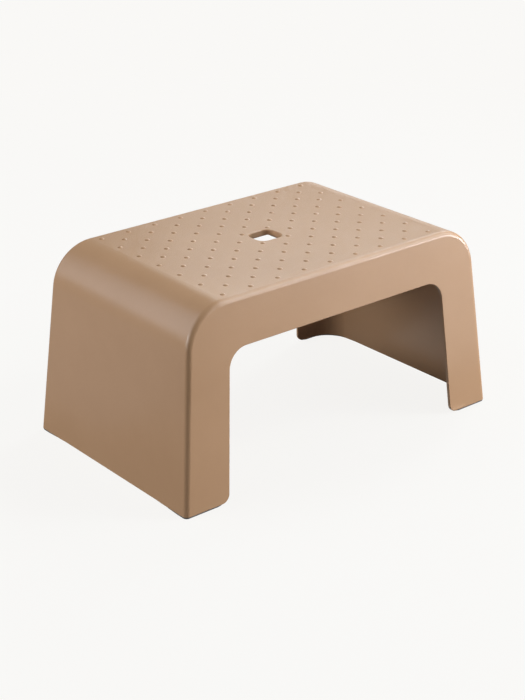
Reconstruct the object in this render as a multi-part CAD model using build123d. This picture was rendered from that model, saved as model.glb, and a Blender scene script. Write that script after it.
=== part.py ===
"""Bridge-shaped shower stool: a one-piece moulded shell that stands on four push-in corner feet.

Frame: millimetres, +X along the seat, +Y to the rear, +Z up, origin on the floor under the seat's centre.
"""

import os
from math import cos, floor, hypot, radians, sqrt, tan

from build123d import *

# ---- The shell's outside ----
LENGTH = 400.0  # outside length, at floor level
WIDTH = 250.0  # outside width, at floor level
HEIGHT = 200.0  # floor to seat, without the studs
END_LEAN = 5.85  # lean of the end walls from upright, degrees
SIDE_LEAN = 4.1  # lean of the front and rear faces from upright, degrees
BEND_RADIUS = 45.0  # outside radius where the seat bends into an end wall
EDGE_RADIUS = 5.0  # rounding all along the front and rear edges
WALL = 3.0  # thickness of the moulding

# ---- The arch through the front and rear faces ----
ARCH_WIDTH = 296.0  # at floor level
ARCH_HEIGHT = 150.5  # floor to the apron's lower edge
ARCH_LEAN = 4.6  # lean of the arch's sides, degrees
ARCH_CORNER = 21.0  # radius of the arch's upper corners
LEG_CORNER = 9.0  # radius of each leg's free lower corner
RIM_RADIUS = 0.8  # softening of the outer edge round the arch and the leg ends

# ---- Inside corners: a curved web closes off a hollow socket in each leg ----
WEB_RADIUS = 26.0  # inside corner radius of the legs
WEB_THICKNESS = 2.4  # between the socket and the open space under the seat
SOCKET_CORNER = 2.0  # radius of the socket's corner behind the leg's outer edge

# ---- The seat ----
STUD_DIAMETER = 5.5
STUD_HEIGHT = 1.0
STUD_PITCH = 16.4  # between rows, and half the spacing along a row
STUD_MARGIN = 1.0  # least flat land between a stud and an edge, a bend or the grip hole
GRIP_LENGTH = 30.0  # grip hole, along X
GRIP_WIDTH = 27.0  # grip hole, along Y
GRIP_CORNER = 9.0  # radius of the hole's corners in plan
GRIP_RIM = 1.0  # rounding of the hole's upper edge
COLLAR_WALL = 2.5  # wall of the collar that stiffens the hole
COLLAR_DEPTH = 5.5  # from the seat's upper face down to the collar's lower edge
RIB_THICKNESS = 2.0
RIB_DEPTH = 6.0  # below the seat's lower face
RIB_PITCH = 40.0  # square grid, with the grip hole in the middle cell

# ---- Feet ----
FOOT_STANDOFF = 1.3  # thickness of the pads, which hold the legs clear of the floor
END_RELIEF = 0.9  # how much higher the end walls' lower edges are than the legs' ends
RELIEF_RAMP = 18.0  # length of the slope at each end of that relief
PAD_INSET = 0.6  # pad's outer faces, inside the leg's outer faces
PAD_WEB_INSET = 0.5  # pad's curved inner face, behind the web's inner face
PAD_TIP = 0.5  # thickness left where a pad thins out at its two ends
PAD_RAMP = 15.0  # length of the thinning along the end wall
ARM_RAMP = 4.0  # length of the thinning along the leg
PAD_EDGE = 0.4  # rounding all round the pad's underside
PLUG_HEIGHT = 14.0  # above the pad
PLUG_CLEARANCE = 0.15  # plug to socket, all round
GROOVE_WIDTH = 1.0
GROOVE_DEPTH = 0.5
GROOVE_PITCH = 2.6  # between the tread grooves under a pad
GROOVE_COUNT = 3
GROOVE_MARGIN = 1.2  # land between the grooves' ends and the pad's edge

# ---- Construction ----
OVERLAP = 1.0  # how far cutting and joining solids run past the surfaces they meet
LOW = -10.0  # level where the untrimmed bodies start, below the floor
NEAR = 0.2  # how close to a face or a level an edge has to be to count as on it

end_slope = tan(radians(END_LEAN))
side_slope = tan(radians(SIDE_LEAN))
arch_slope = tan(radians(ARCH_LEAN))


def half_length(z, inset=0.0):
    """Distance from the centre to an end wall's outer face at height z, set in by inset."""
    return LENGTH / 2 - inset / cos(radians(END_LEAN)) - z * end_slope


def half_width(z, inset=0.0):
    """Distance from the centre to the front or rear outer face at height z, set in by inset."""
    return WIDTH / 2 - inset / cos(radians(SIDE_LEAN)) - z * side_slope


def half_arch(z):
    """Distance from the centre to the arch's side at height z."""
    return ARCH_WIDTH / 2 - z * arch_slope


# Half sizes of the seat's flat top, between the roundings
flat_half_length = half_length(HEIGHT) - BEND_RADIUS * tan(radians(90 - END_LEAN) / 2)
flat_half_width = half_width(HEIGHT) - EDGE_RADIUS * tan(radians(90 - SIDE_LEAN) / 2)

# Centre of the web's curve at the legs' lower ends, in the +X +Y corner
web_x = half_length(FOOT_STANDOFF, WALL + WEB_RADIUS)
web_y = half_width(FOOT_STANDOFF, WALL + WEB_RADIUS)


# ---- Shell ----
def trapezoid(half_low, half_top, low, top):
    """Symmetrical trapezoid about the sketch's upright axis."""
    corners = [(half_low, low), (half_top, top), (-half_top, top), (-half_low, low)]
    return make_face(Polyline(*corners, close=True))


def bend_prism(inset):
    """The seat and end walls in front view, run from front to rear."""
    top = HEIGHT - inset
    outline = trapezoid(half_length(LOW, inset), half_length(top, inset), LOW, top)
    outline = fillet(outline.vertices().group_by(Axis.Y)[-1], BEND_RADIUS - inset)
    return extrude(Plane.XZ * outline, WIDTH, both=True)


def side_prism(inset):
    """The front and rear faces in end view, run from end to end."""
    top = HEIGHT + OVERLAP
    outline = trapezoid(half_width(LOW, inset), half_width(top, inset), LOW, top)
    return extrude(Plane.YZ * outline, LENGTH, both=True)


def outer_body():
    """The outside of the shell as a full solid, with its front and rear edges rounded."""
    body = bend_prism(0) & side_prism(0)
    faces = body.faces().sort_by(Axis.Y)
    edges = faces[0].edges() + faces[-1].edges()
    return fillet([edge for edge in edges if edge.center().Z > LOW + OVERLAP], EDGE_RADIUS)


def cavity_body():
    """The space inside the shell, with the web's curve up each inside corner."""
    top = HEIGHT + OVERLAP
    ends = []
    for z in (LOW, top):
        ends.append(Plane.XY.offset(z) * Rectangle(2 * half_length(z, WALL), 2 * half_width(z, WALL)))
    core = loft(ends, ruled=True)
    corners = core.edges().filter_by_position(Axis.Z, LOW + OVERLAP, top - OVERLAP)
    return fillet(corners, WEB_RADIUS) & bend_prism(WALL)


def legs_prism():
    """Front view of what is left of the shell: all but the arch and the standoff of the feet."""
    low = FOOT_STANDOFF
    top = HEIGHT + OVERLAP
    reach = LENGTH / 2 + OVERLAP
    right = [(half_arch(ARCH_HEIGHT), ARCH_HEIGHT), (half_arch(low), low), (reach, low), (reach, top)]
    left = [(-x, z) for x, z in reversed(right)]
    outline = make_face(Polyline(*right, *left, close=True))
    arch_corners = outline.vertices().filter_by_position(Axis.Y, ARCH_HEIGHT - OVERLAP, ARCH_HEIGHT + OVERLAP)
    outline = fillet(arch_corners, ARCH_CORNER)
    leg_ends = outline.vertices().filter_by_position(Axis.Y, low - OVERLAP, low + OVERLAP)
    free_corners = leg_ends.filter_by_position(Axis.X, -ARCH_WIDTH / 2, ARCH_WIDTH / 2)
    outline = fillet(free_corners, LEG_CORNER)
    return extrude(Plane.XZ * outline, WIDTH, both=True)


def end_relief():
    """Cut along both end walls' lower edges, so that the stool stands on its corners."""
    ramp = RELIEF_RAMP / END_RELIEF * OVERLAP
    low = FOOT_STANDOFF - OVERLAP
    outline = trapezoid(web_y + ramp, web_y - RELIEF_RAMP, low, FOOT_STANDOFF + END_RELIEF)
    return extrude(Plane.YZ * outline, LENGTH, both=True)


def rim_edges(shell):
    """Outer edges of the arch and the leg ends, on the front and rear faces."""
    chosen = []
    for edge in shell.edges():
        middle = edge @ 0.5
        on_face = abs(abs(middle.Y) - half_width(middle.Z)) < NEAR
        if on_face and middle.Z < ARCH_HEIGHT + OVERLAP and abs(middle.X) < ARCH_WIDTH / 2:
            chosen.append(edge)
    return chosen


def grip_plan(growth):
    """The grip hole in plan, grown all round."""
    return RectangleRounded(GRIP_LENGTH + 2 * growth, GRIP_WIDTH + 2 * growth, GRIP_CORNER + growth)


def grip_collar():
    """The thicker rim round the grip hole, run up into the seat."""
    return Pos(0, 0, HEIGHT - COLLAR_DEPTH) * extrude(grip_plan(COLLAR_WALL), COLLAR_DEPTH - WALL / 2)


def grip_cut():
    """The grip hole, cut right through seat and collar."""
    return Pos(0, 0, HEIGHT - COLLAR_DEPTH - OVERLAP) * extrude(grip_plan(0), COLLAR_DEPTH + 2 * OVERLAP)


def grip_rim_edges(shell):
    """Edges of the grip hole in the seat's upper face."""
    edges = shell.edges().filter_by_position(Axis.Z, HEIGHT - NEAR, HEIGHT + NEAR)
    edges = edges.filter_by_position(Axis.X, -GRIP_LENGTH / 2 - NEAR, GRIP_LENGTH / 2 + NEAR)
    return edges.filter_by_position(Axis.Y, -GRIP_WIDTH / 2 - NEAR, GRIP_WIDTH / 2 + NEAR)


def seat_ribs():
    """Square grid of ribs under the seat, run into the walls by half their thickness."""
    height = RIB_DEPTH + WALL / 2
    middle = HEIGHT - WALL / 2 - height / 2
    within = bend_prism(WALL / 2) & side_prism(WALL / 2)
    grid = []
    for place in paired_places(RIB_PITCH, flat_half_length):
        grid.append(Pos(place, 0, middle) * Box(RIB_THICKNESS, WIDTH, height) & within)
    for place in paired_places(RIB_PITCH, flat_half_width):
        grid.append(Pos(0, place, middle) * Box(LENGTH, RIB_THICKNESS, height) & within)
    return grid


def paired_places(pitch, limit):
    """Places one pitch apart and even about zero, none further out than limit."""
    count = floor(limit / pitch + 0.5)
    places = [pitch * (index + 0.5) for index in range(count)]
    return [-place for place in places] + places


def clear_of_grip(x, y):
    """True where a stud keeps its margin to the grip hole."""
    past_x = max(abs(x) - GRIP_LENGTH / 2 + GRIP_CORNER, 0)
    past_y = max(abs(y) - GRIP_WIDTH / 2 + GRIP_CORNER, 0)
    return hypot(past_x, past_y) - GRIP_CORNER > STUD_DIAMETER / 2 + STUD_MARGIN


def stud_places():
    """Staggered rows of studs over the seat's flat top."""
    land = STUD_DIAMETER / 2 + STUD_MARGIN
    columns = floor((flat_half_length - land) / STUD_PITCH)
    rows = floor((flat_half_width - land) / STUD_PITCH)
    places = []
    for row in range(-rows, rows + 1):
        for column in range(-columns, columns + 1):
            x, y = column * STUD_PITCH, row * STUD_PITCH
            if (row + column + rows) % 2 == 0 and clear_of_grip(x, y):
                places.append((x, y))
    return places


def stud():
    """One low dome, with a root that runs halfway into the seat."""
    radius = ((STUD_DIAMETER / 2) ** 2 + STUD_HEIGHT**2) / (2 * STUD_HEIGHT)
    ball = Pos(0, 0, HEIGHT + STUD_HEIGHT - radius) * Sphere(radius)
    root = extrude(Circle(STUD_DIAMETER / 2), WALL / 2 + STUD_HEIGHT)
    return ball & (Pos(0, 0, HEIGHT - WALL / 2) * root)


def socket_section(z, clearance):
    """Plan of the +X +Y corner's socket at height z, shrunk all round by clearance."""
    x_wall = half_length(z, WALL) - clearance
    y_wall = half_width(z, WALL) - clearance
    x_centre = half_length(z, WALL + WEB_RADIUS)
    y_centre = half_width(z, WALL + WEB_RADIUS)
    radius = WEB_RADIUS + WEB_THICKNESS + clearance
    end_tip = (x_wall, y_centre + sqrt(radius**2 - (x_wall - x_centre) ** 2))
    side_tip = (x_centre + sqrt(radius**2 - (y_wall - y_centre) ** 2), y_wall)
    middle = (x_centre + radius / sqrt(2), y_centre + radius / sqrt(2))
    walls = Polyline(end_tip, (x_wall, y_wall), side_tip)
    web = ThreePointArc(side_tip, middle, end_tip)
    outline = make_face(walls.edges() + web.edges())
    corner = outline.vertices().sort_by(Axis((0, 0, 0), (1, 1, 0)))[-1]
    return Plane.XY.offset(z) * fillet(corner, SOCKET_CORNER - clearance)


def socket(low, top, clearance):
    """Solid of the +X +Y corner's socket between two heights."""
    return loft([socket_section(low, clearance), socket_section(top, clearance)], ruled=True)


def in_four_corners(solid):
    """The +X +Y corner's solid repeated in all four corners, by name."""
    rear = {"rear_right": solid, "rear_left": mirror(solid, Plane.YZ)}
    front = {name.replace("rear", "front"): mirror(piece, Plane.XZ) for name, piece in rear.items()}
    return rear | front


def make_shell():
    """Seat, end walls, aprons, legs, ribs, collar and studs in one moulding."""
    shell = (outer_body() - cavity_body()) & legs_prism()
    shell = fillet(rim_edges(shell), RIM_RADIUS) - end_relief()
    shell = shell - list(in_four_corners(socket(LOW, HEIGHT - BEND_RADIUS, 0)).values())
    shell = shell + seat_ribs() + grip_collar()
    shell = shell - grip_cut()
    shell = fillet(grip_rim_edges(shell), GRIP_RIM)
    one_stud = stud()
    return shell + [Pos(x, y, 0) * one_stud for x, y in stud_places()]


# ---- Feet ----
def pad_outline(inset, end_y):
    """The +X +Y corner's pad in plan, shrunk all round by inset and ending at end_y."""
    x_out = half_length(FOOT_STANDOFF) - PAD_INSET - inset
    y_out = half_width(FOOT_STANDOFF) - PAD_INSET - inset
    radius = WEB_RADIUS + PAD_WEB_INSET + inset
    side_tip = (web_x + inset, web_y + sqrt(radius**2 - inset**2))
    end_tip = (web_x + sqrt(radius**2 - (end_y - web_y) ** 2), end_y)
    middle = (web_x + radius / sqrt(2), web_y + radius / sqrt(2))
    outside = Polyline(side_tip, (side_tip[0], y_out), (x_out, y_out), (x_out, end_tip[1]), end_tip)
    inside = ThreePointArc(end_tip, middle, side_tip)
    outline = make_face(outside.edges() + inside.edges())
    corner = outline.vertices().sort_by(Axis((0, 0, 0), (1, 1, 0)))[-1]
    return fillet(corner, EDGE_RADIUS - PAD_INSET - inset)


def pad_arm():
    """The pad's strip along the leg's lower edge, up to the leg's free corner."""
    tip = half_arch(FOOT_STANDOFF) + LEG_CORNER
    inner = web_y + WEB_RADIUS + PAD_WEB_INSET
    outer = half_width(FOOT_STANDOFF) - PAD_INSET
    strip = Box(web_x + OVERLAP - tip, outer - inner, FOOT_STANDOFF, align=Align.MIN)
    return Pos(tip, inner, 0) * strip - end_wedge(Plane.XZ, tip, ARM_RAMP)


def end_wedge(plane, tip, length):
    """Wedge that thins a pad's underside over a length that starts at its tip."""
    rise = FOOT_STANDOFF - PAD_TIP
    slope = rise / length
    low = (tip + length + OVERLAP / slope, -OVERLAP)
    high = (tip - OVERLAP, rise + slope * OVERLAP)
    outline = make_face(Polyline(low, high, (high[0], low[1]), close=True))
    return extrude(plane * outline, LENGTH, both=True)


def underside_edges(pad):
    """The edges all round a pad's underside, its thinned ends included."""
    under = [face for face in pad.faces() if face.normal_at().Z < -NEAR]
    edges = [edge for face in under for edge in face.edges()]
    return [edge for edge in edges if edges.count(edge) == 1]


def make_foot():
    """One rubber foot: a thin pad under the leg's corner, with a plug that fills the socket's mouth."""
    pad = extrude(pad_outline(0, web_y), FOOT_STANDOFF) - end_wedge(Plane.YZ, web_y, PAD_RAMP)
    pad = pad + pad_arm()
    pad = fillet(underside_edges(pad), PAD_EDGE)
    plug = socket(FOOT_STANDOFF - OVERLAP, FOOT_STANDOFF + PLUG_HEIGHT, PLUG_CLEARANCE)
    foot = pad + plug
    tread = extrude(pad_outline(GROOVE_MARGIN, web_y + PAD_RAMP + GROOVE_MARGIN), GROOVE_DEPTH)
    for index in range(1, GROOVE_COUNT + 1):
        radius = WEB_RADIUS + GROOVE_PITCH * index
        ring = Circle(radius + GROOVE_WIDTH / 2) - Circle(radius - GROOVE_WIDTH / 2)
        foot = foot - (Pos(web_x, web_y, 0) * extrude(ring, GROOVE_DEPTH) & tread)
    return foot


def write(name, solid):
    """Write one node's STEP file."""
    export_step(solid, f"parts/{name}.step")


os.makedirs("parts", exist_ok=True)
write("shell", make_shell())
for corner_name, foot_solid in in_four_corners(make_foot()).items():
    write(f"foot_{corner_name}", foot_solid)
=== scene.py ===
"""Looks of the shower stool: a satin moulded shell on rubber feet, on a pale studio floor."""

import math

import bpy
from mathutils import Matrix, Vector

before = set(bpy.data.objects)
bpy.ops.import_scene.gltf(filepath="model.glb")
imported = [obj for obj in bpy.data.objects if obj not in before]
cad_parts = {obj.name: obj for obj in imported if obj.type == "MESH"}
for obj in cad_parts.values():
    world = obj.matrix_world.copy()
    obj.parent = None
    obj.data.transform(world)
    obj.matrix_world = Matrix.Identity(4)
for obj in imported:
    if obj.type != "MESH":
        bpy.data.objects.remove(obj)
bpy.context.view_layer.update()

FOOT_NODES = [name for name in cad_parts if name.startswith("foot_")]

# ---- Camera: place in metres, turns in radians, shifts as shares of the picture's longer side ----
CAMERA_PLACE = Vector((-0.95807, -1.17114, 0.74223))
CAMERA_YAW = 0.6767
CAMERA_PITCH = 0.4129
CAMERA_ROLL = -0.0112
CAMERA_LENS = 82.134514  # millimetres
CAMERA_SENSOR = 36.0  # millimetres along the picture's longer side
CAMERA_SHIFT_X = 0.0137
CAMERA_SHIFT_Y = -0.0068

# ---- Studio: places and distances in metres ----
AIM = Vector((0.0, 0.0, 0.1))  # what the softboxes face: the middle of the stool
UPWARD = Vector((0.0, 0.0, 1.0))
BOARD_LEVEL = 0.003  # of the bounce boards, just above the floor
FLOOR_HALF = 30.0
FADE_START = 0.4  # distance from the middle up to which the floor shows its full shadows
FADE_END = 1.4  # and from which it is an even backdrop

# ---- Strength of the light from all round, and tints of the softboxes and boards ----
WORLD_STRENGTH = 0.06
WHITE = (1.0, 1.0, 1.0)
FAINTLY_COOL = (0.99, 1.01, 1.02)
FAINTLY_BLUE = (0.98, 1.0, 1.06)
FAINTLY_CYAN = (0.94, 1.02, 1.04)
COOL = (0.92, 1.02, 1.10)
PALE_BLUE = (0.91, 1.0, 1.12)
COLD = (0.88, 0.98, 1.16)


def make_camera():
    """Camera at the photograph's viewing angle."""
    sin_yaw, cos_yaw = math.sin(CAMERA_YAW), math.cos(CAMERA_YAW)
    sin_pitch, cos_pitch = math.sin(CAMERA_PITCH), math.cos(CAMERA_PITCH)
    forward = Vector((sin_yaw * cos_pitch, cos_yaw * cos_pitch, -sin_pitch))
    level = Vector((cos_yaw, -sin_yaw, 0.0))
    upright = level.cross(forward)
    right = level * math.cos(CAMERA_ROLL) + upright * math.sin(CAMERA_ROLL)
    up = upright * math.cos(CAMERA_ROLL) - level * math.sin(CAMERA_ROLL)
    data = bpy.data.cameras.new("camera")
    data.sensor_width = CAMERA_SENSOR
    data.lens = CAMERA_LENS
    data.shift_x = CAMERA_SHIFT_X
    data.shift_y = CAMERA_SHIFT_Y
    data.clip_start = 0.05
    data.clip_end = 50.0
    camera = bpy.data.objects.new("camera", data)
    bpy.context.scene.collection.objects.link(camera)
    turn = Matrix((right, up, -forward)).transposed().to_4x4()
    camera.matrix_world = Matrix.Translation(CAMERA_PLACE) @ turn
    bpy.context.scene.camera = camera


# ---- Node helpers ----
class Nodes:
    """Short way to add and link shader nodes in one material."""

    def __init__(self, name):
        self.material = bpy.data.materials.new(name)
        self.material.use_nodes = True
        self.tree = self.material.node_tree
        self.tree.nodes.clear()

    def add(self, kind, **settings):
        """New node with its settings."""
        node = self.tree.nodes.new(kind)
        for key, value in settings.items():
            setattr(node, key, value)
        return node

    def link(self, source, target):
        self.tree.links.new(source, target)

    def feed(self, socket, value):
        """Set a socket's constant, or link it."""
        if isinstance(value, bpy.types.NodeSocket):
            self.link(value, socket)
        else:
            socket.default_value = value

    def place(self):
        """Where a point of the surface lies, in metres."""
        return self.add("ShaderNodeTexCoord").outputs["Object"]

    def noise(self, scale, detail, roughness, seed):
        """Fractal noise of about so many blotches to the metre."""
        node = self.add("ShaderNodeTexNoise", noise_dimensions="4D")
        self.link(self.place(), node.inputs["Vector"])
        node.inputs["W"].default_value = seed
        node.inputs["Scale"].default_value = scale
        node.inputs["Detail"].default_value = detail
        node.inputs["Roughness"].default_value = roughness
        return node.outputs["Fac"]

    def remap(self, value, low, high, to_low, to_high):
        """A value's range stretched to another one, and held at its ends."""
        node = self.add("ShaderNodeMapRange")
        ends = {"From Min": low, "From Max": high, "To Min": to_low, "To Max": to_high}
        for name, number in ends.items():
            node.inputs[name].default_value = number
        self.link(value, node.inputs["Value"])
        return node.outputs["Result"]

    def mix(self, factor, first, second):
        """Colour between two others."""
        node = self.add("ShaderNodeMix", data_type="RGBA")
        self.feed(node.inputs["Factor"], factor)
        self.feed(node.inputs["A"], first)
        self.feed(node.inputs["B"], second)
        return node.outputs["Result"]

    def bump(self, height, distance, strength, below=None):
        """Normal of a height pattern, laid over another normal if one is given."""
        node = self.add("ShaderNodeBump")
        node.inputs["Strength"].default_value = strength
        node.inputs["Distance"].default_value = distance
        self.link(height, node.inputs["Height"])
        if below is not None:
            self.link(below, node.inputs["Normal"])
        return node.outputs["Normal"]

    def glow(self, colour, strength):
        """Even emission."""
        node = self.add("ShaderNodeEmission")
        node.inputs["Color"].default_value = colour
        node.inputs["Strength"].default_value = strength
        return node.outputs[0]

    def mix_shaders(self, factor, first, second):
        """Shader between two others."""
        node = self.add("ShaderNodeMixShader")
        self.link(factor, node.inputs[0])
        self.link(first, node.inputs[1])
        self.link(second, node.inputs[2])
        return node.outputs[0]

    def surface(self, shader):
        """The material, with this shader as its surface."""
        out = self.add("ShaderNodeOutputMaterial")
        self.link(shader, out.inputs["Surface"])
        return self.material


def rgb(red, green, blue):
    """Opaque colour."""
    return (red, green, blue, 1.0)


# ---- Materials ----
def shell_material():
    """Satin moulded plastic with a fine grain, a faint mottle, uneven gloss and a slight waviness."""
    n = Nodes("shell_plastic")
    mottle = n.remap(n.noise(11.0, 4.0, 0.6, 1.0), 0.3, 0.7, 0.0, 1.0)
    base = n.mix(mottle, rgb(0.485, 0.279, 0.151), rgb(0.523, 0.305, 0.169))
    speck = n.remap(n.noise(900.0, 2.0, 0.6, 2.0), 0.35, 0.65, 0.0, 0.25)
    colour = n.mix(speck, base, rgb(0.467, 0.266, 0.143))
    rough = n.remap(n.noise(60.0, 5.0, 0.6, 3.0), 0.3, 0.7, 0.29, 0.325)
    grain = n.bump(n.noise(1400.0, 3.0, 0.6, 4.0), 0.0002, 0.35)
    wave = n.bump(n.noise(28.0, 2.0, 0.5, 5.0), 0.001, 0.04, grain)
    shader = n.add("ShaderNodeBsdfPrincipled")
    shader.inputs["Specular IOR Level"].default_value = 0.5
    n.link(colour, shader.inputs["Base Color"])
    n.link(rough, shader.inputs["Roughness"])
    n.link(wave, shader.inputs["Normal"])
    return n.surface(shader.outputs[0])


def foot_material():
    """Soft grey rubber with a dry, dusty bloom."""
    n = Nodes("foot_rubber")
    bloom = n.remap(n.noise(120.0, 4.0, 0.65, 6.0), 0.35, 0.7, 0.0, 1.0)
    colour = n.mix(bloom, rgb(0.115, 0.113, 0.110), rgb(0.165, 0.162, 0.156))
    rough = n.remap(n.noise(300.0, 3.0, 0.6, 7.0), 0.3, 0.7, 0.68, 0.82)
    grain = n.bump(n.noise(1800.0, 3.0, 0.6, 8.0), 0.0002, 0.4)
    shader = n.add("ShaderNodeBsdfPrincipled")
    n.link(colour, shader.inputs["Base Color"])
    n.link(rough, shader.inputs["Roughness"])
    n.link(grain, shader.inputs["Normal"])
    return n.surface(shader.outputs[0])


def floor_material():
    """Pale floor that glows, so that shadows stay light. It fades into a backdrop and is clear from below."""
    n = Nodes("studio_floor")
    glow = n.glow(rgb(0.963, 0.953, 0.934), 0.92)
    backdrop = n.glow(rgb(0.949, 0.939, 0.921), 1.0)
    paint = n.add("ShaderNodeBsdfDiffuse")
    paint.inputs["Color"].default_value = rgb(0.065, 0.064, 0.062)
    both = n.add("ShaderNodeAddShader")
    n.link(glow, both.inputs[0])
    n.link(paint.outputs[0], both.inputs[1])
    distance = n.add("ShaderNodeVectorMath", operation="LENGTH")
    n.link(n.place(), distance.inputs[0])
    fade = n.remap(distance.outputs["Value"], FADE_START, FADE_END, 0.0, 1.0)
    above = n.mix_shaders(fade, both.outputs[0], backdrop)
    from_below = n.add("ShaderNodeNewGeometry").outputs["Backfacing"]
    clear = n.add("ShaderNodeBsdfTransparent").outputs[0]
    return n.surface(n.mix_shaders(from_below, above, clear))


# ---- Floor and lights ----
def make_plane(name, half, material):
    """Square plane at floor level that isn't part of the stool."""
    mesh = bpy.data.meshes.new(name)
    corners = [(-half, -half, 0.0), (half, -half, 0.0), (half, half, 0.0), (-half, half, 0.0)]
    mesh.from_pydata(corners, [], [(0, 1, 2, 3)])
    mesh.materials.append(material)
    plane = bpy.data.objects.new(name, mesh)
    bpy.context.scene.collection.objects.link(plane)
    return plane


def make_light(name, place, facing, width, height, radiance, colour):
    """Area light that faces a direction and is hidden from the camera."""
    data = bpy.data.lights.new(name, "AREA")
    data.shape = "RECTANGLE"
    data.size, data.size_y = width, height
    data.energy = radiance * math.pi * width * height
    data.color = colour
    light = bpy.data.objects.new(name, data)
    bpy.context.scene.collection.objects.link(light)
    light.location = place
    light.rotation_mode = "QUATERNION"
    light.rotation_quaternion = facing.to_track_quat("-Z", "Y")
    light.visible_camera = False


def make_softbox(name, azimuth, elevation, distance, width, height, radiance, colour):
    """Softbox that faces the stool. Angles are in degrees, and azimuth is turned from +X towards +Y."""
    around, above = math.radians(azimuth), math.radians(elevation)
    run, rise = math.cos(above), math.sin(above)
    outward = Vector((math.cos(around) * run, math.sin(around) * run, rise))
    make_light(name, AIM + outward * distance, -outward, width, height, radiance, colour)


def make_board(name, x, y, side, radiance, colour):
    """Square bounce board that lies on the floor and faces upwards."""
    make_light(name, Vector((x, y, BOARD_LEVEL)), UPWARD, side, side, radiance, colour)


def make_studio():
    """Floor that neither lights the stool nor shows in its gloss, with softboxes and bounce boards."""
    scene = bpy.context.scene
    scene.view_settings.view_transform = "Standard"
    world = bpy.data.worlds.new("studio")
    world.use_nodes = True
    sky = world.node_tree.nodes["Background"]
    sky.inputs["Color"].default_value = rgb(*WHITE)
    sky.inputs["Strength"].default_value = WORLD_STRENGTH
    scene.world = world
    floor = make_plane("studio_floor", FLOOR_HALF, floor_material())
    floor.visible_diffuse = False
    floor.visible_glossy = False
    floor.visible_shadow = False
    # Azimuth, elevation, distance, width, height, radiance and colour
    make_softbox("front_high", 322, 29, 1.88, 1.65, 0.35, 9.2, COOL)
    make_softbox("front_top", 320, 46, 2.8, 0.5, 0.6, 24.0, FAINTLY_CYAN)
    make_softbox("front_strip", 323, 1.8, 2.66, 2.2, 0.36, 25.5, FAINTLY_BLUE)
    make_softbox("left", 170, 13.7, 2.77, 2.2, 0.35, 11.2, FAINTLY_COOL)
    make_softbox("left_rear", 148, 32, 1.84, 1.74, 1.57, 1.9, PALE_BLUE)
    make_softbox("right_high", 20, 41.5, 2.21, 0.44, 1.59, 7.9, COOL)
    make_softbox("rear_low", 46, 31, 2.8, 1.06, 0.36, 6.7, WHITE)
    make_softbox("rear_strip", 45, 5, 2.7, 1.2, 0.4, 1.7, WHITE)
    # X, Y, side, radiance and colour
    make_board("right_board", 0.45, -0.45, 0.44, 0.7, COOL)
    make_board("left_board", -0.55, 0.4, 0.6, 0.24, COLD)
    make_board("under_board", 0.08, -0.04, 0.18, 0.4, COOL)


# ---- Dress the CAD nodes ----
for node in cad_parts.values():
    node.data.materials.clear()
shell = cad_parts["shell"]
shell.data.materials.append(shell_material())
rubber = foot_material()
for name in FOOT_NODES:
    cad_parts[name].data.materials.append(rubber)

make_camera()
make_studio()
